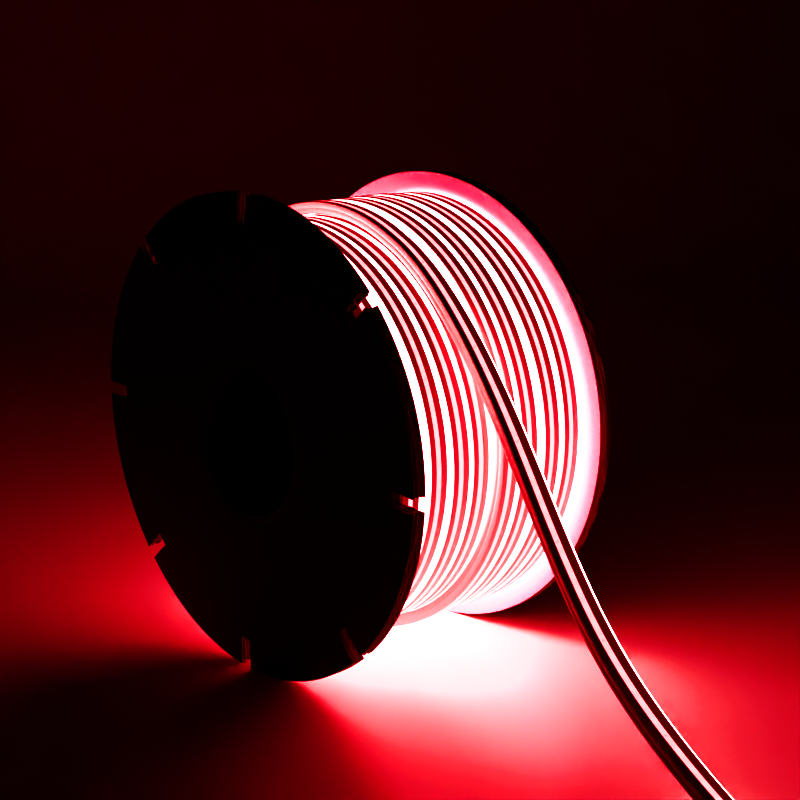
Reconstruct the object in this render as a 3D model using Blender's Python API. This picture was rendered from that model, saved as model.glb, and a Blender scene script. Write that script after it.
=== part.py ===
"""A reel of LED neon flex: two board flanges on a board tube, the wound flex, and its loose tail.

Only the front flange has slots in its rim.

The reel stands on the rims of its flanges. Its axis lies along Y, with the front flange at -Y, and the
origin is on the floor under the middle of the reel. Sizes are in metres, with +Z up.
"""

import math

import bmesh
import bpy
from mathutils import Matrix, Vector

# reel
FLANGE_DIAMETER = 0.240
FLANGE_THICKNESS = 0.007
REEL_WIDTH = 0.1304
BORE_DIAMETER = 0.076
TUBE_WALL = 0.005

# slots cut into the front flange's rim
NOTCH_COUNT = 8
NOTCH_WIDTH = 0.007
NOTCH_DEPTH = 0.0155
NOTCH_TURN = math.radians(-5.4)

# section of the flex, lying on its side on the reel
FLEX_HEIGHT = 0.012
FLEX_THICKNESS = 0.006
DOME_HEIGHT = 0.003
EDGE_CHAMFER = 0.0006

# how the flex is wound
FULL_LAYERS_RADIUS = 0.104
FRONT_GAP = 0.0028
STEP_GAP = 0.0052
LOWER_GAP = 0.0013
OUTER_GAP = 0.0019
BACK_GAP = 0.0019
OUTER_TURNS = 4
LAST_TURN_END = math.radians(292.0)

# end cap of the tail
CAP_LENGTH = 0.018
CAP_HEIGHT = 0.014
CAP_THICKNESS = 0.008
CAP_EDGE = 0.0015

CLEARANCE = 0.0003
JOINT_GAP = 0.0005

# facets
FLANGE_SIDES = 96
TUBE_SIDES = 64
WINDING_STEPS = 60
TAIL_SPACING = 0.011
TAIL_BEVEL_RESOLUTION = 2

# middle of the flex along its loose tail: off the winding, down to the floor and along it
TAIL_ROUTE = [
    (0.0439, -0.0063, 0.2183),
    (0.0489, -0.0064, 0.2158),
    (0.0577, -0.0063, 0.2108),
    (0.0636, -0.0063, 0.2068),
    (0.0705, -0.0064, 0.2015),
    (0.0783, -0.0067, 0.1947),
    (0.0871, -0.0073, 0.1862),
    (0.0970, -0.0083, 0.1758),
    (0.1079, -0.0098, 0.1636),
    (0.1197, -0.0120, 0.1498),
    (0.1326, -0.0151, 0.1345),
    (0.1465, -0.0191, 0.1180),
    (0.1614, -0.0240, 0.1010),
    (0.1775, -0.0297, 0.0847),
    (0.1947, -0.0360, 0.0698),
    (0.2130, -0.0428, 0.0573),
    (0.2323, -0.0492, 0.0463),
    (0.2526, -0.0546, 0.0358),
    (0.2739, -0.0582, 0.0246),
    (0.2940, -0.0603, 0.0148),
    (0.3110, -0.0615, 0.0085),
    (0.3270, -0.0624, 0.0050),
    (0.3430, -0.0632, 0.0040),
]

AXIS_HEIGHT = FLANGE_DIAMETER / 2
INNER_WIDTH = REEL_WIDTH - 2 * FLANGE_THICKNESS
TUBE_RADIUS = BORE_DIAMETER / 2 + TUBE_WALL
AXIS_POINT = Vector((0.0, 0.0, AXIS_HEIGHT))


def clear_scene():
    """Removes whatever the file opened with."""
    for obj in list(bpy.data.objects):
        bpy.data.objects.remove(obj, do_unlink=True)


def make_material(name, colour, roughness, emission=None, strength=0.0):
    """Returns a Principled material."""
    material = bpy.data.materials.new(name)
    material.use_nodes = True
    shader = material.node_tree.nodes["Principled BSDF"]
    shader.inputs["Base Color"].default_value = (*colour, 1.0)
    shader.inputs["Roughness"].default_value = roughness
    shader.inputs["Metallic"].default_value = 0.0
    if emission:
        shader.inputs["Emission Color"].default_value = (*emission, 1.0)
        shader.inputs["Emission Strength"].default_value = strength
    return material


def add_object(name, mesh_or_curve, material):
    """Links a new object to the scene and gives it its material."""
    obj = bpy.data.objects.new(name, mesh_or_curve)
    bpy.context.scene.collection.objects.link(obj)
    if material:
        mesh_or_curve.materials.append(material)
    return obj


def mesh_from(bm, name, smooth_angle=math.radians(30.0)):
    """Turns a bmesh into a smooth-shaded mesh with its normals outwards."""
    bmesh.ops.recalc_face_normals(bm, faces=bm.faces)
    mesh = bpy.data.meshes.new(name)
    bm.to_mesh(mesh)
    bm.free()
    mesh.shade_smooth()
    mesh.set_sharp_from_angle(angle=smooth_angle)
    return mesh


def add_boolean(obj, operation, operand):
    """Cuts or joins a hidden helper object with a Boolean modifier."""
    modifier = obj.modifiers.new(operation.lower(), "BOOLEAN")
    modifier.operation = operation
    modifier.solver = "EXACT"
    modifier.object = operand
    operand.hide_render = True
    operand.display_type = "WIRE"


def drum(bm, radius, sides, y_low, y_high):
    """Adds a closed drum about the reel's axis, with a flat of its rim facing straight down.

    The flats touch the circle of the given radius.
    """
    turn = Matrix.Rotation(math.radians(90.0), 4, "X") @ Matrix.Rotation(math.pi / sides, 4, "Z")
    centre = Matrix.Translation(AXIS_POINT + Vector((0.0, (y_low + y_high) / 2, 0.0)))
    corner_radius = radius / math.cos(math.pi / sides)
    bmesh.ops.create_cone(
        bm,
        cap_ends=True,
        segments=sides,
        radius1=corner_radius,
        radius2=corner_radius,
        depth=y_high - y_low,
        matrix=centre @ turn,
    )


def make_flange_cutter(name, y_low, y_high, slots):
    """Makes the cutter of one flange: the hole for the tube and a block for each rim slot."""
    bm = bmesh.new()
    run_past = FLANGE_THICKNESS
    drum(bm, TUBE_RADIUS + CLEARANCE, TUBE_SIDES, y_low - run_past, y_high + run_past)
    slot_floor = FLANGE_DIAMETER / 2 - NOTCH_DEPTH
    block_length = 2 * NOTCH_DEPTH
    for index in range(slots):
        angle = math.radians(90.0) + NOTCH_TURN + index * math.tau / slots
        spin = Matrix.Rotation(-angle, 4, "Y")
        place = Matrix.Translation(AXIS_POINT + Vector((0.0, (y_low + y_high) / 2, 0.0)))
        along = Matrix.Translation(Vector((slot_floor + block_length / 2, 0.0, 0.0)))
        size = Matrix.Diagonal((block_length, 3 * FLANGE_THICKNESS, NOTCH_WIDTH, 1.0))
        bmesh.ops.create_cube(bm, size=1.0, matrix=place @ spin @ along @ size)
    return add_object(name, mesh_from(bm, name), None)


def make_flange(name, y_low, slots, material):
    """Makes one board disc with its rim slots, if any, and the hole that the tube passes through."""
    y_high = y_low + FLANGE_THICKNESS
    bm = bmesh.new()
    drum(bm, FLANGE_DIAMETER / 2, FLANGE_SIDES, y_low, y_high)
    flange = add_object(name, mesh_from(bm, name), material)
    add_boolean(flange, "DIFFERENCE", make_flange_cutter(name + "_cutter", y_low, y_high, slots))
    return flange


def make_core_tube(material):
    """Makes the board tube that carries both flanges; its bore takes the spindle."""
    bm = bmesh.new()
    drum(bm, TUBE_RADIUS, TUBE_SIDES, -REEL_WIDTH / 2, REEL_WIDTH / 2)
    tube = add_object("core_tube", mesh_from(bm, "core_tube"), material)
    cutter = bmesh.new()
    drum(cutter, BORE_DIAMETER / 2, TUBE_SIDES, -REEL_WIDTH, REEL_WIDTH)
    add_boolean(tube, "DIFFERENCE", add_object("core_bore_cutter", mesh_from(cutter, "core_bore"), None))
    return tube


def turn_outline(base, top):
    """Returns the outward side of one turn as (y, radius) points: chamfered back edge, flat side, dome."""
    tip = base + FLEX_HEIGHT
    half = FLEX_THICKNESS / 2
    shoulder = tip - DOME_HEIGHT
    slant = math.sin(math.radians(50.0))
    return [
        (base, top - half),
        (base, top - EDGE_CHAMFER),
        (base + EDGE_CHAMFER, top),
        (shoulder, top),
        (shoulder + DOME_HEIGHT * slant, top - half + half * math.sqrt(1 - slant * slant)),
        (tip, top - half),
    ]


def outer_bases():
    """Returns where each full turn of the outer layer starts along Y, front to back."""
    pitch = FLEX_HEIGHT + OUTER_GAP
    last = INNER_WIDTH / 2 - BACK_GAP - FLEX_HEIGHT
    return [last - pitch * index for index in reversed(range(OUTER_TURNS))]


def lower_bases():
    """Returns where each visible turn of the layer below starts along Y, front to back."""
    front = -INNER_WIDTH / 2 + FRONT_GAP
    bases = [front]
    base = front + FLEX_HEIGHT + STEP_GAP
    while base + FLEX_HEIGHT < outer_bases()[0]:
        bases.append(base)
        base += FLEX_HEIGHT + LOWER_GAP
    return bases


def spin_about_axis(bm, points, angle, steps, start=0.0):
    """Turns a closed outline of (y, radius) points about the reel's axis, from an angle above +X."""
    direction = Vector((math.cos(start), 0.0, math.sin(start)))
    verts = [bm.verts.new(AXIS_POINT + direction * radius + Vector((0.0, y, 0.0))) for y, radius in points]
    full = math.isclose(angle, math.tau)
    if full:
        geometry = verts + [bm.edges.new((a, b)) for a, b in zip(verts, verts[1:] + verts[:1])]
    else:
        geometry = [bm.faces.new(verts)]
    bmesh.ops.spin(
        bm,
        geom=geometry,
        cent=AXIS_POINT,
        axis=(0.0, -1.0, 0.0),
        angle=angle,
        steps=steps,
        use_merge=full,
        use_duplicate=False,
    )


def make_winding(material):
    """Makes the wound flex as one turned solid with its bore, and joins the last turn on top of it."""
    end = INNER_WIDTH / 2 - CLEARANCE
    bore = TUBE_RADIUS + CLEARANCE
    outer_radius = FULL_LAYERS_RADIUS + FLEX_THICKNESS
    outline = [(-end, bore), (-end, FULL_LAYERS_RADIUS - FLEX_THICKNESS / 2)]
    for base in lower_bases():
        outline += turn_outline(base, FULL_LAYERS_RADIUS)
    for base in outer_bases():
        outline += turn_outline(base, outer_radius)
    outline += [(end, outer_radius - FLEX_THICKNESS / 2), (end, bore)]
    bm = bmesh.new()
    spin_about_axis(bm, outline, math.tau, WINDING_STEPS)
    winding = add_object("winding", mesh_from(bm, "winding"), material)

    start_x, start_y, start_z = TAIL_ROUTE[0]
    last_base = start_y - FLEX_HEIGHT / 2
    sunk = FULL_LAYERS_RADIUS - JOINT_GAP
    side = turn_outline(last_base, outer_radius)
    section = [(last_base, sunk)] + side + [(last_base + FLEX_HEIGHT, sunk)]
    start = math.atan2(start_z - AXIS_HEIGHT, start_x) + JOINT_GAP / outer_radius
    sweep = LAST_TURN_END - start
    steps = round(WINDING_STEPS * sweep / math.tau)
    bm = bmesh.new()
    spin_about_axis(bm, section, sweep, steps, start)
    last_turn = add_object("last_turn_helper", mesh_from(bm, "last_turn"), None)
    add_boolean(winding, "UNION", last_turn)
    return winding


def smooth_route(points, spacing):
    """Returns points about one spacing apart on a Catmull-Rom curve through the route."""
    knots = [Vector(point) for point in points]
    knots = [2 * knots[0] - knots[1]] + knots + [2 * knots[-1] - knots[-2]]
    fine = []
    samples = 12
    for before, first, second, after in zip(knots, knots[1:], knots[2:], knots[3:]):
        for step in range(samples):
            t = step / samples
            pull = (second - before) / 2
            push = (after - first) / 2
            fine.append(
                first * (2 * t**3 - 3 * t**2 + 1)
                + pull * (t**3 - 2 * t**2 + t)
                + second * (3 * t**2 - 2 * t**3)
                + push * (t**3 - t**2)
            )
    fine.append(knots[-2])
    travelled = [0.0]
    for first, second in zip(fine, fine[1:]):
        travelled.append(travelled[-1] + (second - first).length)
    count = max(2, round(travelled[-1] / spacing))
    result = []
    index = 0
    for step in range(count + 1):
        wanted = travelled[-1] * step / count
        while index < len(fine) - 2 and travelled[index + 1] < wanted:
            index += 1
        share = (wanted - travelled[index]) / (travelled[index + 1] - travelled[index])
        result.append(fine[index].lerp(fine[index + 1], min(share, 1.0)))
    return result


def make_tail(material):
    """Makes the loose tail: a flat band with rounded edges, whose wide side stays level across."""
    points = smooth_route(TAIL_ROUTE, TAIL_SPACING)
    curve = bpy.data.curves.new("flex_tail", "CURVE")
    curve.dimensions = "3D"
    curve.twist_mode = "Z_UP"
    curve.extrude = (FLEX_HEIGHT - FLEX_THICKNESS) / 2
    curve.bevel_depth = FLEX_THICKNESS / 2
    curve.bevel_resolution = TAIL_BEVEL_RESOLUTION
    curve.use_fill_caps = True
    spline = curve.splines.new("POLY")
    spline.points.add(len(points) - 1)
    for target, point in zip(spline.points, points):
        target.co = (*point, 1.0)
        target.tilt = math.radians(90.0)
    return add_object("flex_tail", curve, material)


def make_end_cap(material):
    """Makes the moulded cap on the tail's end, lying on the floor in line with the flex."""
    points = smooth_route(TAIL_ROUTE, TAIL_SPACING)
    end = points[-1]
    along = (end - points[-2]).normalized()
    heading = math.atan2(along.y, along.x)
    bm = bmesh.new()
    size = Matrix.Diagonal((CAP_LENGTH, CAP_HEIGHT, CAP_THICKNESS, 1.0))
    bmesh.ops.create_cube(bm, size=1.0, matrix=size)
    bmesh.ops.bevel(
        bm,
        geom=bm.edges[:],
        offset=CAP_EDGE,
        affect="EDGES",
        segments=2,
        profile=0.5,
        material=-1,
    )
    cap = add_object("end_cap", mesh_from(bm, "end_cap"), material)
    middle = end + Vector((math.cos(heading), math.sin(heading), 0.0)) * (JOINT_GAP + CAP_LENGTH / 2)
    cap.location = (middle.x, middle.y, CAP_THICKNESS / 2)
    cap.rotation_euler = (0.0, 0.0, heading)
    return cap


def main():
    """Builds the reel, its winding and the loose tail."""
    clear_scene()
    board = make_material("black_board", (0.012, 0.011, 0.011), 0.85)
    tube_board = make_material("tube_board", (0.030, 0.022, 0.018), 0.9)
    flex = make_material("flex_lit", (0.75, 0.12, 0.13), 0.45, (1.0, 0.06, 0.08), 1.5)
    tail = make_material("flex_tail", (0.75, 0.12, 0.13), 0.45, (1.0, 0.06, 0.08), 1.5)
    cap = make_material("cap_silicone", (0.30, 0.02, 0.03), 0.5)
    make_flange("front_flange", -REEL_WIDTH / 2, NOTCH_COUNT, board)
    make_flange("back_flange", REEL_WIDTH / 2 - FLANGE_THICKNESS, 0, board.copy())
    make_core_tube(tube_board)
    make_winding(flex)
    make_tail(tail)
    make_end_cap(cap)


if __name__ == "__main__":
    main()
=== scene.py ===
"""Looks of the LED neon flex reel: corrugated board discs, a board tube, the lit flex and its loose tail.

Everything is in metres, +Z up. The reel's axis lies along Y with the front disc at -Y.
"""

import logging
import math
import random
from dataclasses import dataclass
from enum import Enum

import bmesh
import bpy
from mathutils import Matrix, Vector


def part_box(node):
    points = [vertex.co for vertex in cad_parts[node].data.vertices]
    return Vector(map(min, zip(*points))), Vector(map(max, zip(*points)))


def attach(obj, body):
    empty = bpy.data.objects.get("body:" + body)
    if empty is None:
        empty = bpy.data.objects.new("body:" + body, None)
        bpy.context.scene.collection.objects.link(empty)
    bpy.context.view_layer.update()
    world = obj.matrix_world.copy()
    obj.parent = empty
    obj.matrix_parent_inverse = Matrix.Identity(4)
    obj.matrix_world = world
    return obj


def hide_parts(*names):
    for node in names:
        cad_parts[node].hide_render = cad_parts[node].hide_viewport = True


LOG = logging.getLogger("neon_flex_reel")
MM = 0.001
SILICONE_IOR = 1.41
AXIS_Y = Vector((0.0, 1.0, 0.0))
UP = Vector((0.0, 0.0, 1.0))
Colour = tuple[float, float, float, float] | bpy.types.NodeSocket

# middle of the flex along its loose tail: off the winding, down to the floor and along it
TAIL_ROUTE = [
    (0.0439, -0.0063, 0.2183),
    (0.0489, -0.0064, 0.2158),
    (0.0577, -0.0063, 0.2108),
    (0.0636, -0.0063, 0.2068),
    (0.0705, -0.0064, 0.2015),
    (0.0783, -0.0067, 0.1947),
    (0.0871, -0.0073, 0.1862),
    (0.0970, -0.0083, 0.1758),
    (0.1079, -0.0098, 0.1636),
    (0.1197, -0.0120, 0.1498),
    (0.1326, -0.0151, 0.1345),
    (0.1465, -0.0191, 0.1180),
    (0.1614, -0.0240, 0.1010),
    (0.1775, -0.0297, 0.0847),
    (0.1947, -0.0360, 0.0698),
    (0.2130, -0.0428, 0.0573),
    (0.2323, -0.0492, 0.0463),
    (0.2526, -0.0546, 0.0358),
    (0.2739, -0.0582, 0.0246),
    (0.2940, -0.0603, 0.0148),
    (0.3110, -0.0615, 0.0085),
    (0.3270, -0.0624, 0.0050),
    (0.3430, -0.0632, 0.0040),
]

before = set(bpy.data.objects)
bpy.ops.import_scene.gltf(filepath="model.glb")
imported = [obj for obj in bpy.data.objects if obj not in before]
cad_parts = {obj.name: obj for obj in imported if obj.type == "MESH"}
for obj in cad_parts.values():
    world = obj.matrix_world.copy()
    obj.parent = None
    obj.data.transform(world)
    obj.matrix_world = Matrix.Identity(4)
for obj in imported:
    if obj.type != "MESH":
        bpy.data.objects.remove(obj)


def linear(hex_colour: str) -> tuple[float, float, float, float]:
    """Turns an sRGB hex value into linear light.

    Args:
        hex_colour: a value such as "#c81a24".

    Returns:
        Red, green, blue and an alpha of 1.
    """
    channels = [int(hex_colour[start : start + 2], 16) / 255 for start in (1, 3, 5)]
    knee, slope, offset, power = 0.04045, 12.92, 0.055, 2.4
    light = [c / slope if c <= knee else ((c + offset) / (1 + offset)) ** power for c in channels]
    return (*light, 1.0)


def add_node(tree: bpy.types.NodeTree, kind: str, inputs: dict | None = None, **settings) -> bpy.types.Node:
    """Adds one node.

    Args:
        tree: the material's or world's node tree.
        kind: the node's type.
        inputs: a value or another node's output for each input named or numbered.
        settings: the node's own properties.

    Returns:
        The new node.
    """
    node = tree.nodes.new(kind)
    for name, value in settings.items():
        setattr(node, name, value)
    for socket, value in (inputs or {}).items():
        if isinstance(value, bpy.types.NodeSocket):
            tree.links.new(value, node.inputs[socket])
        else:
            node.inputs[socket].default_value = value
    return node


def fresh_material(name: str) -> tuple[bpy.types.Material, bpy.types.NodeTree, bpy.types.Node]:
    """Returns a new material with its node tree and its shader."""
    material = bpy.data.materials.new(name)
    material.use_nodes = True
    tree = material.node_tree
    return material, tree, tree.nodes["Principled BSDF"]


def blend_colours(
    tree: bpy.types.NodeTree, share: bpy.types.NodeSocket, first: Colour, second: Colour
) -> bpy.types.NodeSocket:
    """Mixes two colours.

    Args:
        tree: the material's node tree.
        share: 0 gives the first colour and 1 the second.
        first: a colour, or an output that gives one.
        second: a colour, or an output that gives one.

    Returns:
        The mixed colour's output.
    """
    factor, side_a, side_b, result = 0, 6, 7, 2
    mix = add_node(tree, "ShaderNodeMix", {factor: share, side_a: first, side_b: second}, data_type="RGBA")
    return mix.outputs[result]


def ramp(
    tree: bpy.types.NodeTree, value: bpy.types.NodeSocket, low: float, high: float
) -> bpy.types.NodeSocket:
    """Brings a value from low..high smoothly to 0..1 and returns that output."""
    settings = {"Value": value, "From Min": low, "From Max": high}
    return add_node(tree, "ShaderNodeMapRange", settings, interpolation_type="SMOOTHSTEP").outputs["Result"]


def mesh_object(bm: bmesh.types.BMesh, name: str, materials: list, sharp: float = 30.0) -> bpy.types.Object:
    """Makes an object of a finished bmesh, shaded smooth except at its sharp edges.

    Args:
        bm: the bmesh, which is freed.
        name: the object's name.
        materials: its materials in slot order.
        sharp: the angle in degrees past which an edge stays sharp.

    Returns:
        The object, linked to the scene.
    """
    mesh = bpy.data.meshes.new(name)
    bm.to_mesh(mesh)
    bm.free()
    mesh.shade_smooth()
    mesh.set_sharp_from_angle(angle=math.radians(sharp))
    for material in materials:
        mesh.materials.append(material)
    obj = bpy.data.objects.new(name, mesh)
    bpy.context.scene.collection.objects.link(obj)
    return obj


def close_up(bm: bmesh.types.BMesh, merge: float = 0.002 * MM) -> None:
    """Merges doubles, then turns every face outwards."""
    bmesh.ops.remove_doubles(bm, verts=bm.verts, dist=merge)
    bmesh.ops.recalc_face_normals(bm, faces=bm.faces)


def cut(obj: bpy.types.Object, operations: list[tuple[str, bpy.types.Object]]) -> None:
    """Applies Boolean cuts to an object's mesh and removes the cutters.

    Args:
        obj: the object to cut.
        operations: each Boolean's operation and its cutter, in order.
    """
    for operation, cutter in operations:
        modifier = obj.modifiers.new(operation.lower(), "BOOLEAN")
        modifier.operation = operation
        modifier.solver = "EXACT"
        modifier.object = cutter
    bpy.context.view_layer.update()
    evaluated = obj.evaluated_get(bpy.context.evaluated_depsgraph_get())
    whole = bpy.data.meshes.new_from_object(evaluated)
    obj.modifiers.clear()
    obj.data = whole
    for cutter in {cutter for _, cutter in operations}:
        bpy.data.objects.remove(cutter, do_unlink=True)


def smooth_value(table: list[tuple[float, float]], at: float) -> float:
    """Reads a table along a smooth curve that never swings past its own points.

    Args:
        table: (place, value) pairs with rising places.
        at: the place to read.

    Returns:
        The value there.
    """
    steps = [(b[1] - a[1]) / (b[0] - a[0]) for a, b in zip(table, table[1:])]
    slopes = [steps[0]]
    for before, after in zip(steps, steps[1:]):
        slopes.append(2 * before * after / (before + after) if before * after > 0 else 0.0)
    slopes.append(steps[-1])
    index = 0
    while index < len(table) - 2 and at > table[index + 1][0]:
        index += 1
    (left, low), (right, high) = table[index], table[index + 1]
    span = right - left
    t = (at - left) / span
    return (
        low * (2 * t**3 - 3 * t**2 + 1)
        + slopes[index] * span * (t**3 - 2 * t**2 + t)
        + high * (3 * t**2 - 2 * t**3)
        + slopes[index + 1] * span * (t**3 - t**2)
    )


def smooth_route(points: list[tuple[float, float, float]], spacing: float) -> list[Vector]:
    """Reads a route along a Catmull-Rom curve.

    Args:
        points: the route's own points.
        spacing: about how far apart the points that it returns are.

    Returns:
        Points evenly spaced along the curve, its two ends among them.
    """
    knots = [Vector(point) for point in points]
    knots = [2 * knots[0] - knots[1]] + knots + [2 * knots[-1] - knots[-2]]
    fine = []
    samples = 12
    for before, first, second, after in zip(knots, knots[1:], knots[2:], knots[3:]):
        for step in range(samples):
            t = step / samples
            fine.append(
                first * (2 * t**3 - 3 * t**2 + 1)
                + (second - before) / 2 * (t**3 - 2 * t**2 + t)
                + second * (3 * t**2 - 2 * t**3)
                + (after - first) / 2 * (t**3 - t**2)
            )
    fine.append(knots[-2])
    travelled = [0.0]
    for first, second in zip(fine, fine[1:]):
        travelled.append(travelled[-1] + (second - first).length)
    count = round(travelled[-1] / spacing)
    result = []
    index = 0
    for step in range(count + 1):
        wanted = travelled[-1] * step / count
        while index < len(fine) - 2 and travelled[index + 1] < wanted:
            index += 1
        share = (wanted - travelled[index]) / (travelled[index + 1] - travelled[index])
        result.append(fine[index].lerp(fine[index + 1], min(share, 1.0)))
    return result


@dataclass(frozen=True)
class LedLight:
    """Light of the red LEDs behind milky silicone: almost all red, with a trace of green and blue."""

    green: float = 0.030
    blue: float = 0.030

    def colour(self, share: float = 1.0) -> tuple[float, float, float, float]:
        """Returns the light's linear colour at a share of its full brightness."""
        return (share, self.green * share, self.blue * share, 1.0)


@dataclass(frozen=True)
class PaintedGlow:
    """Painted glow: emission on the silicone's surface that stands in for the light of the turns beside and
    the floor below.

    It follows a table of (length along the flex, brightness) pairs. It may fade with the height, down to the
    table's share above and never below the least, so that the painted glow is brightest near the floor.
    """

    along: tuple[tuple[float, float], ...]
    least: float = 0.0
    share_above: float = 0.0
    fades_upwards: bool = True
    full_below: float = 0.06
    gone_above: float = 0.19

    def peak(self) -> float:
        """Returns the table's highest brightness."""
        return max(brightness for _, brightness in self.along)

    def light(self, tree: bpy.types.NodeTree, full: float) -> bpy.types.NodeSocket:
        """Adds the nodes of this light.

        Args:
            tree: the material's node tree.
            full: the brightness that a colour of 1 stands for.

        Returns:
            The light's colour.
        """
        coordinates = add_node(tree, "ShaderNodeTexCoord").outputs
        travel = add_node(tree, "ShaderNodeSeparateXYZ", {"Vector": coordinates["UV"]}).outputs["X"]
        start, end = self.along[0][0], self.along[-1][0]
        share = add_node(tree, "ShaderNodeMapRange", {"Value": travel, "From Min": start, "From Max": end})
        table = add_node(tree, "ShaderNodeValToRGB", {"Fac": share.outputs["Result"]})
        elements = table.color_ramp.elements
        for _ in self.along[1:-1]:
            elements.new(0.5)
        for element, (place, brightness) in zip(elements, self.along):
            element.position = (place - start) / (end - start)
            element.color = LedLight().colour(brightness / full)
        if not self.fades_upwards:
            return table.outputs["Color"]
        # the painted glow fades towards the top, standing in for light from the floor below
        height = add_node(tree, "ShaderNodeSeparateXYZ", {"Vector": coordinates["Object"]}).outputs["Z"]
        fall = {"Value": height, "From Min": self.gone_above, "From Max": self.full_below}
        fall["To Min"] = self.share_above
        low = add_node(tree, "ShaderNodeMapRange", fall, interpolation_type="SMOOTHSTEP").outputs["Result"]
        return blend_colours(tree, low, LedLight().colour(self.least / full), table.outputs["Color"])


class Zone(Enum):
    """The parts of the flex's surface, in the order of its material slots."""

    SKIN = 0
    BASE = 1
    WINDOW = 2
    DOME = 3


@dataclass(frozen=True)
class Flute:
    """A corrugated sheet's wave: how high it stands and how far apart its tips are."""

    height: float
    pitch: float


@dataclass(frozen=True)
class PrintedLiner:
    """Kraft liner board printed solid black: matt, with fibres and the faint ribs of the flutes under it."""

    name: str = "kraft_liner_printed_black"
    ink: str = "#17110f"
    worn: str = "#2c211c"
    roughness: float = 0.72
    roughness_swing: float = 0.12
    fibre_pitch: float = 0.9 * MM
    blotches_per_metre: float = 28.0
    rib_pitch: float = 6.4 * MM

    def make(self) -> bpy.types.Material:
        """Returns the material."""
        material, tree, shader = fresh_material(self.name)
        place = add_node(tree, "ShaderNodeTexCoord").outputs["Object"]
        fibre = add_node(
            tree,
            "ShaderNodeTexNoise",
            {"Vector": place, "Scale": 1 / self.fibre_pitch, "Detail": 4.0, "Roughness": 0.65},
        )
        blotches = {"Vector": place, "Scale": self.blotches_per_metre, "Detail": 5.0}
        blotch = add_node(tree, "ShaderNodeTexNoise", blotches)
        wear = ramp(tree, blotch.outputs["Fac"], 0.55, 0.80)
        colour = blend_colours(tree, wear, linear(self.ink), linear(self.worn))
        tree.links.new(colour, shader.inputs["Base Color"])
        swing = {"Value": fibre.outputs["Fac"]}
        swing["To Min"] = self.roughness - self.roughness_swing
        swing["To Max"] = self.roughness + self.roughness_swing
        rough = add_node(tree, "ShaderNodeMapRange", swing)
        tree.links.new(rough.outputs["Result"], shader.inputs["Roughness"])
        along = add_node(tree, "ShaderNodeSeparateXYZ", {"Vector": place}).outputs["X"]
        wave = {0: along, 1: math.tau / self.rib_pitch}
        turns = add_node(tree, "ShaderNodeMath", wave, operation="MULTIPLY")
        rib = add_node(tree, "ShaderNodeMath", {0: turns.outputs[0]}, operation="SINE")
        ribs = add_node(
            tree, "ShaderNodeBump", {"Height": rib.outputs[0], "Strength": 0.25, "Distance": 0.08 * MM}
        )
        bump = add_node(
            tree,
            "ShaderNodeBump",
            {
                "Height": fibre.outputs["Fac"],
                "Strength": 0.35,
                "Distance": 0.12 * MM,
                "Normal": ribs.outputs["Normal"],
            },
        )
        tree.links.new(bump.outputs["Normal"], shader.inputs["Normal"])
        return material


@dataclass(frozen=True)
class BoardFinish:
    """Unprinted board: a fibrous paper surface in two close colours."""

    name: str
    light: str
    dark: str
    roughness: float = 0.85
    fibre_pitch: float = 0.8 * MM

    def make(self) -> bpy.types.Material:
        """Returns the material."""
        material, tree, shader = fresh_material(self.name)
        place = add_node(tree, "ShaderNodeTexCoord").outputs["Object"]
        fibre = add_node(
            tree,
            "ShaderNodeTexNoise",
            {"Vector": place, "Scale": 1 / self.fibre_pitch, "Detail": 5.0, "Roughness": 0.6},
        )
        share = ramp(tree, fibre.outputs["Fac"], 0.35, 0.70)
        colour = blend_colours(tree, share, linear(self.light), linear(self.dark))
        tree.links.new(colour, shader.inputs["Base Color"])
        shader.inputs["Roughness"].default_value = self.roughness
        bump = add_node(
            tree, "ShaderNodeBump", {"Height": fibre.outputs["Fac"], "Strength": 0.3, "Distance": 0.1 * MM}
        )
        tree.links.new(bump.outputs["Normal"], shader.inputs["Normal"])
        return material


@dataclass(frozen=True)
class SpiralBoard:
    """Spiral-wound board tube: kraft plies whose butt joint runs round it as a shallow helix."""

    name: str = "spiral_wound_board"
    light: str = "#4a3628"
    dark: str = "#2e2018"
    ply_width: float = 60 * MM
    seam: float = 0.8 * MM
    fibres_per_metre: float = 900.0
    roughness: float = 0.8

    def make(self) -> bpy.types.Material:
        """Returns the material."""
        material, tree, shader = fresh_material(self.name)
        place = add_node(tree, "ShaderNodeTexCoord").outputs["Object"]
        centred = add_node(
            tree, "ShaderNodeMapping", {"Vector": place, "Location": (0.0, 0.0, -BoardDisc().radius)}
        )
        parts = add_node(tree, "ShaderNodeSeparateXYZ", {"Vector": centred.outputs["Vector"]})
        angle = add_node(
            tree, "ShaderNodeMath", {0: parts.outputs["Z"], 1: parts.outputs["X"]}, operation="ARCTAN2"
        )
        climb = add_node(
            tree,
            "ShaderNodeMath",
            {0: angle.outputs[0], 1: self.ply_width / math.tau, 2: parts.outputs["Y"]},
            operation="MULTIPLY_ADD",
        )
        distance = add_node(
            tree, "ShaderNodeMath", {0: climb.outputs[0], 1: self.ply_width / 2}, operation="PINGPONG"
        )
        joint = ramp(tree, distance.outputs[0], 0.0, self.seam)
        fibres = {"Vector": place, "Scale": self.fibres_per_metre, "Detail": 4.0}
        fibre = add_node(tree, "ShaderNodeTexNoise", fibres)
        mottled = blend_colours(tree, fibre.outputs["Fac"], linear(self.light), linear(self.dark))
        colour = blend_colours(tree, joint, linear(self.dark), mottled)
        tree.links.new(colour, shader.inputs["Base Color"])
        shader.inputs["Roughness"].default_value = self.roughness
        bump = add_node(tree, "ShaderNodeBump", {"Height": joint, "Strength": 0.6, "Distance": 0.2 * MM})
        tree.links.new(bump.outputs["Normal"], shader.inputs["Normal"])
        return material


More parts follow.
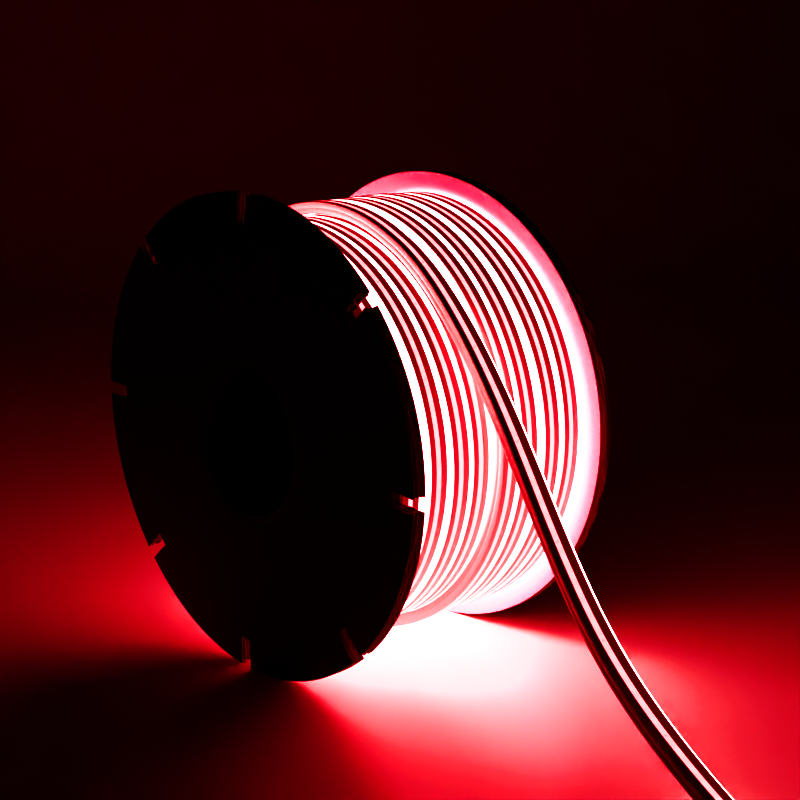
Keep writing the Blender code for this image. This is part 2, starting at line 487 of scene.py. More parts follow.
@dataclass(frozen=True)
class SiliconeSkin:
    """Extruded silicone: satin, slightly clouded, with the fine draw lines that the die leaves along it.

    On the reel it also carries a painted glow: an emission that stands in for the light of the next turns
    getting into it.
    """

    name: str
    colour: str
    clouded: str
    roughness: float = 0.42
    clouds_per_metre: float = 90.0
    draw_pitch: float = 0.7 * MM
    painted_glow: PaintedGlow | None = None

    def make(self) -> bpy.types.Material:
        """Returns the material."""
        material, tree, shader = fresh_material(self.name)
        coordinates = add_node(tree, "ShaderNodeTexCoord")
        clouds = {"Vector": coordinates.outputs["Object"], "Detail": 3.0}
        clouds["Scale"] = self.clouds_per_metre
        cloud = add_node(tree, "ShaderNodeTexNoise", clouds)
        colour = blend_colours(tree, cloud.outputs["Fac"], linear(self.colour), linear(self.clouded))
        tree.links.new(colour, shader.inputs["Base Color"])
        shader.inputs["Roughness"].default_value = self.roughness
        shader.inputs["IOR"].default_value = SILICONE_IOR
        # painted glow: emission standing in for light from the turns beside and the floor below
        if self.painted_glow:
            full = self.painted_glow.peak()
            tree.links.new(self.painted_glow.light(tree, full), shader.inputs["Emission Color"])
            shader.inputs["Emission Strength"].default_value = full
        drawn = add_node(
            tree,
            "ShaderNodeMapping",
            {"Vector": coordinates.outputs["UV"], "Scale": (12.0, 1 / self.draw_pitch, 1.0)},
        )
        lines = add_node(
            tree, "ShaderNodeTexNoise", {"Vector": drawn.outputs["Vector"], "Scale": 1.0, "Detail": 2.0}
        )
        bump = add_node(
            tree, "ShaderNodeBump", {"Height": lines.outputs["Fac"], "Strength": 0.2, "Distance": 0.05 * MM}
        )
        tree.links.new(bump.outputs["Normal"], shader.inputs["Normal"])
        return material


@dataclass(frozen=True)
class LitWindow:
    """The side window over the lit strip: pale, with a faint swell at each LED and a pad at each cut."""

    middle: float
    led: LedLight = LedLight()
    name: str = "silicone_side_window_lit"
    milky: str = "#f2d8da"
    between: float = 0.9
    pad: float = 0.6
    strength: float = 2.65
    roughness: float = 0.35
    led_pitch: float = 50 * MM / 6
    cut_pitch: float = 50 * MM
    cut_start: float = 29.5 * MM
    pad_half: float = 0.7 * MM

    def make(self) -> bpy.types.Material:
        """Returns the material."""
        material, tree, shader = fresh_material(self.name)
        coordinates = add_node(tree, "ShaderNodeTexCoord").outputs["UV"]
        parts = add_node(tree, "ShaderNodeSeparateXYZ", {"Vector": coordinates})
        shift = {0: parts.outputs["X"], 1: self.cut_start}
        shifted = add_node(tree, "ShaderNodeMath", shift, operation="SUBTRACT").outputs[0]
        from_led = add_node(tree, "ShaderNodeMath", {0: shifted, 1: self.led_pitch / 2}, operation="PINGPONG")
        from_cut = add_node(tree, "ShaderNodeMath", {0: shifted, 1: self.cut_pitch / 2}, operation="PINGPONG")
        swell = ramp(tree, from_led.outputs[0], 0.0, self.led_pitch / 2)
        from_middle = add_node(
            tree, "ShaderNodeMath", {0: parts.outputs["Y"], 1: self.middle}, operation="SUBTRACT"
        )
        offset = add_node(
            tree, "ShaderNodeCombineXYZ", {"X": from_cut.outputs[0], "Y": from_middle.outputs[0]}
        )
        from_pad = add_node(tree, "ShaderNodeVectorMath", {0: offset.outputs["Vector"]}, operation="LENGTH")
        clear = ramp(tree, from_pad.outputs["Value"], self.pad_half * 0.4, self.pad_half * 1.5)
        strip = blend_colours(tree, swell, self.led.colour(), self.led.colour(self.between))
        lit = blend_colours(tree, clear, self.led.colour(self.pad), strip)
        tree.links.new(lit, shader.inputs["Emission Color"])
        shader.inputs["Base Color"].default_value = linear(self.milky)
        shader.inputs["Emission Strength"].default_value = self.strength
        shader.inputs["Roughness"].default_value = self.roughness
        shader.inputs["IOR"].default_value = SILICONE_IOR
        return material


@dataclass(frozen=True)
class LitDome:
    """The diffusing dome: milky silicone lit evenly from within, far brighter than anything round it."""

    tip: float
    led: LedLight = LedLight()
    name: str = "silicone_diffuser_dome_lit"
    milky: str = "#c0a7a7"
    dip: float = 0.94
    strength: float = 42.0
    steepness: float = 2.0
    roughness: float = 0.4
    led_pitch: float = 50 * MM / 6
    full_to: float = 2.6 * MM
    dark_from: float = 4.0 * MM
    # painted glow on the dome's shoulders, away from the tip: brighter towards the floor, dimmer at the
    # winding's start, its end and the tail; it stands in for light from the turns beside and the floor below
    painted_glow: PaintedGlow = PaintedGlow(((-9.0, 0.25), (-7.4, 0.25), (-7.2, 0.9), (-0.08, 0.9), (0.0, 0.06)), least=0.06)

    def make(self) -> bpy.types.Material:
        """Returns the material."""
        material, tree, shader = fresh_material(self.name)
        coordinates = add_node(tree, "ShaderNodeTexCoord").outputs["UV"]
        parts = add_node(tree, "ShaderNodeSeparateXYZ", {"Vector": coordinates})
        repeat = {0: parts.outputs["X"], 1: self.led_pitch / 2}
        from_led = add_node(tree, "ShaderNodeMath", repeat, operation="PINGPONG")
        swell = ramp(tree, from_led.outputs[0], 0.0, self.led_pitch / 2)
        colour = blend_colours(tree, swell, self.led.colour(), self.led.colour(self.dip))
        side = add_node(tree, "ShaderNodeMath", {0: parts.outputs["Y"], 1: self.tip}, operation="SUBTRACT")
        from_tip = add_node(tree, "ShaderNodeMath", {0: side.outputs[0]}, operation="ABSOLUTE")
        fade = ramp(tree, from_tip.outputs[0], self.dark_from, self.full_to)
        steep = add_node(tree, "ShaderNodeMath", {0: fade, 1: self.steepness}, operation="POWER")
        # the shoulders carry the painted glow, the tip the LEDs' own light
        shoulder = self.painted_glow.light(tree, self.strength)
        lit = blend_colours(tree, steep.outputs[0], shoulder, colour)
        tree.links.new(lit, shader.inputs["Emission Color"])
        shader.inputs["Emission Strength"].default_value = self.strength
        shader.inputs["Base Color"].default_value = linear(self.milky)
        shader.inputs["Roughness"].default_value = self.roughness
        shader.inputs["IOR"].default_value = SILICONE_IOR
        return material


@dataclass(frozen=True)
class FlexSection:
    """The flex's section: its height runs from the base wall to the tip of the dome."""

    height: float = 12 * MM
    thickness: float = 6 * MM
    corner: float = 0.6 * MM
    groove_half: float = 0.55 * MM
    groove_depth: float = 0.15 * MM
    window_start: float = 3.4 * MM
    window_end: float = 6.2 * MM
    window_lip: float = 0.08 * MM
    window_depth: float = 0.10 * MM
    dome: float = 3 * MM
    dome_steps: int = 6

    def outline(self) -> list[tuple[float, float, Zone]]:
        """Works out the closed outline.

        Returns:
            (height, side, zone) points, where the zone is that of the stretch from the point before.
        """
        half = self.thickness / 2
        shoulder = self.height - self.dome
        upper = [
            (self.groove_depth, 0.0, Zone.BASE),
            (self.groove_depth, self.groove_half * 0.5, Zone.BASE),
            (0.0, self.groove_half, Zone.BASE),
            (0.0, half - self.corner, Zone.BASE),
            (self.corner * 0.3, half - self.corner * 0.3, Zone.BASE),
            (self.corner, half, Zone.SKIN),
            (self.window_start - self.window_lip, half, Zone.SKIN),
            (self.window_start, half - self.window_depth, Zone.SKIN),
            (self.window_end, half - self.window_depth, Zone.WINDOW),
            (self.window_end + self.window_lip, half, Zone.SKIN),
            (shoulder, half, Zone.DOME),
        ]
        for step in range(1, self.dome_steps + 1):
            turn = math.pi / 2 * step / self.dome_steps
            upper.append((shoulder + self.dome * math.sin(turn), half * math.cos(turn), Zone.DOME))
        lower = []
        for index in range(len(upper) - 2, -1, -1):
            u, v, _ = upper[index]
            lower.append((u, -v, upper[index + 1][2]))
        return upper + lower

    def around(self) -> list[float]:
        """Returns each outline point's distance round the section from the first."""
        points = self.outline()
        reach = [0.0]
        for (u0, v0, _), (u1, v1, _) in zip(points, points[1:]):
            reach.append(reach[-1] + math.hypot(u1 - u0, v1 - v0))
        return reach

    def tip(self) -> float:
        """Returns the distance round the section from the base's groove to the dome's tip."""
        return self.around()[-1] / 2

    def window_middle(self) -> float:
        """Returns the distance round the section to the middle of the outward window."""
        reach = self.around()
        ends = [index for index, point in enumerate(self.outline()) if point[2] is Zone.WINDOW]
        return (reach[ends[0] - 1] + reach[ends[0]]) / 2


@dataclass(frozen=True)
class Station:
    """One place along the flex: the section's middle, its two directions and the length up to there."""

    centre: Vector
    across: Vector
    outward: Vector
    travel: float


def sweep_flex(stations: list[Station], section: FlexSection) -> bmesh.types.BMesh:
    """Wraps a grid round the flex's section along its stations and closes both ends.

    Args:
        stations: the places along the flex.
        section: the flex's section.

    Returns:
        A closed bmesh with a material for each zone and UVs in metres: along, then round the section.
    """
    outline = section.outline()
    columns = len(stations) - 1
    rows = len(outline) - 1
    around = section.around()
    bm = bmesh.new()
    uv_layer = bm.loops.layers.uv.new("UVMap")
    bmesh.ops.create_grid(bm, x_segments=columns, y_segments=rows, size=1.0)
    place = {v: (round((v.co.x + 1) / 2 * columns), round((v.co.y + 1) / 2 * rows)) for v in bm.verts}
    for face in bm.faces:
        face.material_index = outline[max(place[v][1] for v in face.verts)][2].value
        for loop in face.loops:
            column, row = place[loop.vert]
            loop[uv_layer].uv = (stations[column].travel, around[row])
    middle = section.height / 2
    for v, (column, row) in place.items():
        station = stations[column]
        u, side, _ = outline[row]
        v.co = station.centre + station.across * (u - middle) + station.outward * side
    close_up(bm)
    rim = [edge for edge in bm.edges if edge.is_boundary]
    bmesh.ops.holes_fill(bm, edges=rim, sides=0)
    bmesh.ops.recalc_face_normals(bm, faces=bm.faces)
    return bm


@dataclass
class BoardDisc:
    """One disc of the reel: double-wall corrugated board with a tube hole and slots torn into its rim."""

    radius: float = 120 * MM
    tube_hole: float = 43.3 * MM
    liner: float = 0.4 * MM
    sheet: float = 0.3 * MM
    outer_flute: Flute = Flute(2.2 * MM, 6.4 * MM)
    inner_flute: Flute = Flute(3.6 * MM, 7.9 * MM)
    slots: int = 8
    slot_width: float = 7 * MM
    slot_depth: float = 15.5 * MM
    slot_turn: float = math.radians(84.6)
    ragged: float = 0.3 * MM
    bow: float = 0.0
    margin: float = 2 * MM
    rim_sides: int = 192
    hole_sides: int = 96
    wave_steps: int = 12

    def centre(self) -> Vector:
        """Returns the point on the axis above the origin."""
        return Vector((0.0, 0.0, self.radius))

    def drum(self, name: str, radius: float, low: float, high: float, sides: int) -> bpy.types.Object:
        """Makes a closed drum about the axis.

        Args:
            name: the object's name.
            radius: the drum's radius.
            low: its first end along Y.
            high: its other end.
            sides: how many flats its rim has.

        Returns:
            The drum.
        """
        bm = bmesh.new()
        place = Matrix.Translation(self.centre() + AXIS_Y * (low + high) / 2)
        turn = Matrix.Rotation(math.radians(90.0), 4, "X")
        bmesh.ops.create_cone(
            bm,
            cap_ends=True,
            segments=sides,
            radius1=radius,
            radius2=radius,
            depth=high - low,
            matrix=place @ turn,
        )
        return mesh_object(bm, name, [])

    def slot_cutter(self, name: str, low: float, high: float, chance: random.Random) -> bpy.types.Object:
        """Makes the cutter of all slots for one layer of the board.

        Args:
            name: the object's name.
            low: where it starts along Y.
            high: where it ends.
            chance: the source of the torn edges' unevenness.

        Returns:
            The cutter, a block with uneven sides for each slot.
        """
        bm = bmesh.new()
        cuts_along = 7
        length = 1.6 * self.slot_depth
        for index in range(self.slots):
            angle = self.slot_turn + index * math.tau / self.slots
            made = bmesh.ops.create_grid(bm, x_segments=cuts_along, y_segments=1, size=1.0)["verts"]
            shift = chance.uniform(-self.ragged, self.ragged)
            for v in made:
                along = self.radius - self.slot_depth + (v.co.x + 1) / 2 * length
                across = v.co.y * self.slot_width / 2 + shift + chance.uniform(-self.ragged, self.ragged)
                v.co = Vector((along + chance.uniform(-self.ragged, self.ragged), low, across))
            faces = list({face for v in made for face in v.link_faces})
            top = bmesh.ops.extrude_face_region(bm, geom=faces, use_keep_orig=True)["geom"]
            moved = [item for item in top if isinstance(item, bmesh.types.BMVert)]
            bmesh.ops.translate(bm, verts=moved, vec=AXIS_Y * (high - low))
            spin = Matrix.Translation(self.centre()) @ Matrix.Rotation(-angle, 4, "Y")
            bmesh.ops.transform(bm, matrix=spin, verts=made + moved)
        bmesh.ops.recalc_face_normals(bm, faces=bm.faces)
        return mesh_object(bm, name, [])

    def wave_sheet(self, name: str, flute: Flute, low: float) -> bpy.types.Object:
        """Makes one fluted sheet, larger than the disc, whose flutes run upright.

        Args:
            name: the object's name.
            flute: the sheet's wave.
            low: where the flutes start along Y.

        Returns:
            The sheet with its thickness.
        """
        bm = bmesh.new()
        reach = self.radius * 1.05
        steps = round(2 * reach / flute.pitch * self.wave_steps)
        bmesh.ops.create_grid(bm, x_segments=steps, y_segments=1, size=reach)
        swing = (flute.height - self.sheet) / 2
        for v in bm.verts:
            x, upright = v.co.x, v.co.y
            wave = swing * math.sin(math.tau * x / flute.pitch)
            v.co = Vector((x, low + flute.height / 2 + wave, self.radius + upright))
        bmesh.ops.recalc_face_normals(bm, faces=bm.faces)
        bmesh.ops.translate(bm, verts=bm.verts, vec=AXIS_Y * self.sheet / 2)
        bmesh.ops.solidify(bm, geom=bm.faces[:], thickness=self.sheet)
        bmesh.ops.recalc_face_normals(bm, faces=bm.faces)
        return mesh_object(bm, name, [])

    def build(self, name: str, node: str, outside: int, seed: int, liners: dict) -> bpy.types.Object:
        """Builds the disc from its five layers.

        Args:
            name: the piece's name.
            node: the solid that it stands for.
            outside: -1 where its printed side faces -Y, 1 where it faces +Y.
            seed: where the torn edges' unevenness starts.
            liners: the materials by layer kind.

        Returns:
            The disc.
        """
        chance = random.Random(seed)
        low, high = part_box(node)
        start = low.y if outside < 0 else high.y
        layers = [
            ("printed", self.liner, None),
            ("fluting", self.outer_flute.height, self.outer_flute),
            ("middle", self.liner, None),
            ("fluting", self.inner_flute.height, self.inner_flute),
            ("inner", self.liner, None),
        ]
        kinds = ["printed", "fluting", "middle", "inner"]
        joined = bmesh.new()
        for kind, depth, flute in layers:
            end = start - outside * depth
            first, last = min(start, end), max(start, end)
            below, above = first - self.margin, last + self.margin
            if flute:
                layer = self.wave_sheet("layer", flute, first)
                blank = self.drum("blank", self.radius, below, above, self.rim_sides)
                steps = [("INTERSECT", blank)]
            else:
                layer = self.drum("layer", self.radius, first, last, self.rim_sides)
                steps = []
            hole = self.drum("hole", self.tube_hole, below, above, self.hole_sides)
            steps.append(("DIFFERENCE", hole))
            if self.slots:
                torn = self.slot_cutter("slots", below, above, chance)
                steps.append(("DIFFERENCE", torn))
            cut(layer, steps)
            before = len(joined.faces)
            joined.from_mesh(layer.data)
            joined.faces.ensure_lookup_table()
            for face in joined.faces[before:]:
                face.material_index = kinds.index(kind)
            bpy.data.objects.remove(layer, do_unlink=True)
            start = end
        for v in joined.verts:
            v.co.y += self.bow * (max(v.co.x, 0.0) / self.radius) ** 2
        disc = mesh_object(joined, name, [liners[kind] for kind in kinds])
        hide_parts(node)
        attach(disc, "root")
        return disc


def turned(profile: list[tuple[float, float]], sides: int, cuts: int = 0) -> bmesh.types.BMesh:
    """Turns a closed profile once round the reel's axis.

    Args:
        profile: its corners in order, as (place along Y, radius) pairs.
        sides: how many flats the turned shape has.
        cuts: how many points each side of the profile gets between its corners.

    Returns:
        The closed bmesh.
    """
    bm = bmesh.new()
    axis = BoardDisc().centre()
    verts = [bm.verts.new(axis + Vector((radius, y, 0.0))) for y, radius in profile]
    edges = [bm.edges.new(pair) for pair in zip(verts, verts[1:] + verts[:1])]
    if cuts:
        bmesh.ops.subdivide_edges(bm, edges=edges, cuts=cuts)
    bmesh.ops.spin(
        bm,
        geom=bm.verts[:] + bm.edges[:],
        cent=axis,
        axis=AXIS_Y,
        angle=math.tau,
        steps=sides,
        use_merge=True,
        use_duplicate=False,
    )
    close_up(bm)
    return bm


@dataclass
class CoreTube:
    """The spiral-wound board tube between and through the discs."""

    radius: float = 43 * MM
    bore: float = 38 * MM
    edge: float = 0.6 * MM
    sides: int = 128

    def build(self) -> bpy.types.Object:
        """Turns the tube's wall about the axis and returns it."""
        low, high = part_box("core_tube")
        ends = [
            (low.y, self.bore + self.edge),
            (low.y, self.radius - self.edge),
            (low.y + self.edge, self.radius),
            (high.y - self.edge, self.radius),
            (high.y, self.radius - self.edge),
            (high.y, self.bore + self.edge),
            (high.y - self.edge, self.bore),
            (low.y + self.edge, self.bore),
        ]
        tube = mesh_object(turned(ends, self.sides), "core_tube_board", [SpiralBoard().make()])
        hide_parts("core_tube")
        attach(tube, "root")
        return tube


@dataclass(frozen=True)
class LayPoint:
    """One place of the winding: the turn, the angle above +X, the base wall's place and the outer radius."""

    turn: int
    degrees: float
    base: float
    radius: float

    def turned(self) -> float:
        """Returns how far the flex has turned to get here, in degrees."""
        return self.turn * 360.0 - self.degrees


@dataclass
class WoundFlex:
    """The flex on the reel: its two visible layers in one length, the layer under them and a plain core."""

    section: FlexSection
    inner_face: float
    lower_radius: float = 104.1 * MM
    outer_radius: float = 110.3 * MM
    steps_per_turn: int = 96
    tube_radius: float = 43.4 * MM
    end_room: float = 0.3 * MM
    layer_room: float = 0.1 * MM

    def lay(self) -> list[LayPoint]:
        """Returns the winding's chosen places, the base wall's in millimetres from the front disc."""
        lower = self.lower_radius
        outer = self.outer_radius
        end = TAIL_ROUTE[0]
        end_angle = math.degrees(math.atan2(end[2] - BoardDisc().radius, end[0]))
        end_radius = math.hypot(end[0], end[2] - BoardDisc().radius) + self.section.thickness / 2
        end_base = (end[1] - self.section.height / 2 - self.inner_face) / MM
        return [
            LayPoint(0, 200, 0.3, lower - 5.7 * MM),
            LayPoint(0, 130, 1.4, lower),
            LayPoint(0, 40, 2.8, lower),
            LayPoint(0, -35, 3.2, lower),
            LayPoint(1, 70, 20.0, lower),
            LayPoint(1, -35, 20.1, lower),
            LayPoint(2, 70, 32.2, lower),
            LayPoint(2, -35, 34.9, lower),
            LayPoint(3, 70, 45.4, lower),
            LayPoint(3, -35, 47.5, lower),
            LayPoint(4, 70, 58.6, lower),
            LayPoint(5, 70, 71.9, lower),
            LayPoint(6, 70, 85.2, lower),
            LayPoint(7, 70, 98.5, lower),
            LayPoint(7, -35, 101.0, lower),
            LayPoint(8, 150, 104.0, lower),
            LayPoint(8, 80, 104.1, outer),
            LayPoint(8, 70, 104.0, outer),
            LayPoint(8, 10, 102.1, outer),
            LayPoint(9, 40, 89.2, outer),
            LayPoint(9, 10, 88.5, outer),
            LayPoint(10, 70, 75.8, outer),
            LayPoint(10, 25, 73.8, outer),
            LayPoint(11, 25, 60.9, outer),
            LayPoint(12, end_angle, end_base, end_radius),
        ]

    def under_lay(self) -> list[LayPoint]:
        """Returns the places of the layer below, which runs from the back disc to the front one."""
        radius = self.lower_radius - self.section.thickness - self.layer_room
        return [LayPoint(-8, 200, 104.0, radius), LayPoint(0, 200, 0.3, radius - 0.05 * MM)]

    def stations(self, lay: list[LayPoint]) -> list[Station]:
        """Works out the places along the flex, with the length counted back from the winding's end.

        Args:
            lay: the winding's chosen places.

        Returns:
            The stations.
        """
        bases = [(point.turned(), self.inner_face + point.base * MM) for point in lay]
        radii = [(point.turned(), point.radius) for point in lay]
        first, last = lay[0].turned(), lay[-1].turned()
        count = round((last - first) / 360.0 * self.steps_per_turn)
        places = []
        for step in range(count + 1):
            turned = first + (last - first) * step / count
            angle = math.radians(-turned)
            outward = Vector((math.cos(angle), 0.0, math.sin(angle)))
            radius = smooth_value(radii, turned) - self.section.thickness / 2
            middle = smooth_value(bases, turned) + self.section.height / 2
            places.append((BoardDisc().centre() + outward * radius + AXIS_Y * middle, outward))
        lengths = [0.0]
        for (here, _), (after, _) in zip(places, places[1:]):
            lengths.append(lengths[-1] + (after - here).length)
        return [
            Station(centre, AXIS_Y, outward, length - lengths[-1])
            for (centre, outward), length in zip(places, lengths)
        ]

    def core(self, skin: bpy.types.Material, radius: float) -> bpy.types.Object:
        """Makes the plain core that stands for the layers nobody sees.

        Args:
            skin: its material.
            radius: its outer radius.

        Returns:
            The turned core.
        """
        end = -self.inner_face - self.end_room
        profile = [(-end, self.tube_radius), (-end, radius), (end, radius), (end, self.tube_radius)]
        return mesh_object(turned(profile, self.steps_per_turn, cuts=3), "wound_flex_core", [skin])

    def build(self, dress: list[bpy.types.Material], pale: bpy.types.Material) -> list[bpy.types.Object]:
        """Builds and dresses the winding.

        Args:
            dress: the flex's materials in the order of its zones.
            pale: the material of the layers that show only through the gaps, a lighter copy of the silicone,
                painted light that stands in for the glow of those lit turns.

        Returns:
            The visible layers, the layer under them and the core.
        """
        shown = mesh_object(sweep_flex(self.stations(self.lay()), self.section), "wound_flex", dress)
        deep = [pale] * len(dress)
        below = sweep_flex(self.stations(self.under_lay()), self.section)
        under = mesh_object(below, "wound_flex_under", deep)
        hidden_radius = self.lower_radius - 2 * self.section.thickness - 0.3 * MM
        core = self.core(pale, hidden_radius)
        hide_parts("winding")
        pieces = [shown, under, core]
        for piece in pieces:
            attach(piece, "root")
        return pieces


@dataclass
class LooseTail:
    """The free end of the flex, a cord from the winding to its cap on the floor, and that cap."""

    section: FlexSection
    spacing: float = 3 * MM
    length: float = 0.387
    cap_length: float = 18 * MM
    cap_height: float = 14 * MM
    cap_thickness: float = 8 * MM
    cap_edge: float = 1.5 * MM
    cap_wall: float = 0.9 * MM
    cap_overlap: float = 3.5 * MM
    grip: float = 0.35 * MM
    bands: tuple[tuple[float, float], ...] = ((-0.05, 0.08), (0.18, 0.31))

    def stations(self) -> list[Station]:
        """Returns the places along the tail, whose wide side stays level across."""
        points = smooth_route(TAIL_ROUTE, self.spacing)
        result = []
        travel = 0.0
        for index, point in enumerate(points):
            before = points[max(index - 1, 0)]
            after = points[min(index + 1, len(points) - 1)]
            along = (after - before).normalized()
            across = UP.cross(along).normalized()
            if index:
                travel += (point - before).length
            result.append(Station(point, across, along.cross(across), travel))
        return result

    def cap(self, end: Station, along: Vector) -> bpy.types.Object:
        """Makes the moulded cap: a rounded sleeve with a pocket for the flex and two grip bands.

        Args:
            end: the tail's last place; not used.
            along: the tail's level direction there.

        Returns:
            The cap.
        """
        bm = bmesh.new()
        reach = self.cap_length + self.cap_overlap
        sleeve_height = self.cap_height - 2 * self.grip
        sleeve_thickness = self.cap_thickness - 2 * self.grip
        size = Matrix.Diagonal((reach, sleeve_height, sleeve_thickness, 1.0))
        bmesh.ops.create_cube(bm, size=1.0, matrix=size)
        bmesh.ops.bevel(
            bm,
            geom=bm.edges[:],
            offset=self.cap_edge,
            affect="EDGES",
            segments=4,
            profile=0.5,
            material=-1,
        )
        for share in (edge for band in self.bands for edge in band):
            whole = bm.verts[:] + bm.edges[:] + bm.faces[:]
            bmesh.ops.bisect_plane(
                bm, geom=whole, plane_co=(reach * share, 0.0, 0.0), plane_no=(1.0, 0.0, 0.0), dist=0.001 * MM
            )
        for low, high in self.bands:
            band = [f for f in bm.faces if low * reach < f.calc_center_median().x < high * reach]
            bmesh.ops.inset_region(bm, faces=band, thickness=self.grip, depth=self.grip, use_even_offset=True)
        mouth = min(bm.faces, key=lambda f: f.calc_center_median().x)
        bmesh.ops.inset_region(bm, faces=[mouth], thickness=self.cap_wall / 3, use_even_offset=True)
        pocket = bmesh.ops.extrude_face_region(bm, geom=[mouth])["geom"]
        floor = [item for item in pocket if isinstance(item, bmesh.types.BMVert)]
        bmesh.ops.translate(bm, verts=floor, vec=(self.cap_overlap + 1 * MM, 0.0, 0.0))
        bmesh.ops.delete(bm, geom=[mouth], context="FACES_ONLY")
        close_up(bm)
        low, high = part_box("end_cap")
        middle = (low + high) / 2 - along * self.cap_overlap / 2
        turn = Matrix.Rotation(math.atan2(along.y, along.x), 4, "Z")
        bmesh.ops.transform(bm, matrix=Matrix.Translation(middle) @ turn, verts=bm.verts)
        moulded = SiliconeSkin("silicone_moulded_cap", "#6e1018", "#571016", roughness=0.5, draw_pitch=3 * MM)
        cap = mesh_object(bm, "tail_end_cap", [moulded.make()])
        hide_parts("end_cap")
        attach(cap, "root")
        return cap

    def build(self, dress: list[bpy.types.Material]) -> list[bpy.types.Object]:
        """Args:
            dress: the flex's materials in the order of its zones.

        Returns:
            The tail and the cap.
        """
        stations = self.stations()
        tail = mesh_object(sweep_flex(stations, self.section), "loose_tail", dress)
        heading = stations[-1].centre - stations[-2].centre
        level = Vector((heading.x, heading.y, 0.0)).normalized()
        cap = self.cap(stations[-1], level)
        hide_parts("flex_tail")
        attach(tail, "root")
        LOG.info("tail length %.4f m", stations[-1].travel)
        return [tail, cap]


@dataclass(frozen=True)
class Viewpoint:
    """The camera that saw the reel: its place, its turn, dip and roll, and its lens."""

    place: tuple[float, float, float] = (0.5872, -0.4818, 0.2953)
    turn: float = math.radians(48.544)
    dip: float = math.radians(12.481)
    roll: float = math.radians(-2.523)
    lens: float = 68.38
    sensor: float = 36.0

    def make(self) -> bpy.types.Object:
        """Returns the scene's camera."""
        forward = Vector(
            (
                -math.sin(self.turn) * math.cos(self.dip),
                math.cos(self.turn) * math.cos(self.dip),
                -math.sin(self.dip),
            )
        )
        level = Vector((math.cos(self.turn), math.sin(self.turn), 0.0))
        above = level.cross(forward)
        right = level * math.cos(self.roll) + above * math.sin(self.roll)
        up = above * math.cos(self.roll) - level * math.sin(self.roll)
        data = bpy.data.cameras.new("camera")
        data.lens = self.lens
        data.sensor_width = self.sensor
        data.clip_start = 0.01
        camera = bpy.data.objects.new("camera", data)
        bpy.context.scene.collection.objects.link(camera)
        axes = Matrix((right, up, -forward)).transposed().to_4x4()
        camera.matrix_world = Matrix.Translation(self.place) @ axes
        bpy.context.scene.camera = camera
        return camera


@dataclass
class Studio:
    """A pale seamless floor that curves up behind the reel, under one large soft light kept low."""

    reach: float = 3.0
    behind: float = 1.3
    curve: float = 0.8
    wall: float = 2.5
    colour: str = "#ebe8e8"
    clouded: str = "#e4e1e1"
    roughness: float = 0.38
    gloss: float = 0.8
    sky: float = 0.0005
    light_power: float = 0.05
    light_size: float = 1.6
    light_tilt: float = math.radians(15.0)
    light_place: tuple[float, float, float] = (0.3, -0.4, 1.6)

    def floor_finish(self) -> bpy.types.Material:
        """Returns the floor's satin painted finish, whose gloss draws the pool of light forwards."""
        material, tree, shader = fresh_material("painted_studio_floor")
        place = add_node(tree, "ShaderNodeTexCoord").outputs["Object"]
        cloud = add_node(tree, "ShaderNodeTexNoise", {"Vector": place, "Scale": 6.0, "Detail": 3.0})
        share = ramp(tree, cloud.outputs["Fac"], 0.3, 0.7)
        colour = blend_colours(tree, share, linear(self.colour), linear(self.clouded))
        tree.links.new(colour, shader.inputs["Base Color"])
        shader.inputs["Roughness"].default_value = self.roughness
        shader.inputs["Specular IOR Level"].default_value = self.gloss
        return material

    def build(self) -> bpy.types.Object:
        """Builds the floor, the light and the dim surroundings, and returns the floor."""
        bm = bmesh.new()
        corner_steps = 24
        verts = [bm.verts.new((-self.reach, y, 0.0)) for y in (-self.reach, self.behind)]
        bm.edges.new(verts)
        bmesh.ops.spin(
            bm,
            geom=[verts[1]],
            cent=(-self.reach, self.behind, self.curve),
            axis=(1.0, 0.0, 0.0),
            angle=math.radians(90.0),
            steps=corner_steps,
            use_merge=False,
            use_duplicate=False,
        )
        bm.verts.ensure_lookup_table()
        top = bm.verts[-1]
        crown = bm.verts.new(top.co + UP * self.wall)
        bm.edges.new((top, crown))
        side = bmesh.ops.extrude_edge_only(bm, edges=bm.edges[:])["geom"]
        moved = [item for item in side if isinstance(item, bmesh.types.BMVert)]
        bmesh.ops.translate(bm, verts=moved, vec=(2 * self.reach, 0.0, 0.0))
        turn = Matrix.Rotation(Viewpoint().turn, 4, "Z")
        bmesh.ops.transform(bm, matrix=turn, verts=bm.verts)
        bmesh.ops.recalc_face_normals(bm, faces=bm.faces)
        floor = mesh_object(bm, "studio_floor", [self.floor_finish()])
        lamp = bpy.data.lights.new("soft_light", "AREA")
        lamp.shape = "DISK"
        lamp.size = self.light_size
        lamp.energy = self.light_power
        light = bpy.data.objects.new("soft_light", lamp)
        tilt = Matrix.Rotation(self.light_tilt, 4, "X")
        light.matrix_world = Matrix.Translation(self.light_place) @ tilt
        bpy.context.scene.collection.objects.link(light)
        world = bpy.data.worlds.new("dim_surroundings")
        world.use_nodes = True
        background = world.node_tree.nodes["Background"]
        background.inputs["Color"].default_value = (1.0, 1.0, 1.0, 1.0)
        background.inputs["Strength"].default_value = self.sky
        bpy.context.scene.world = world
        bpy.context.scene.view_settings.view_transform = "Standard"
        return floor


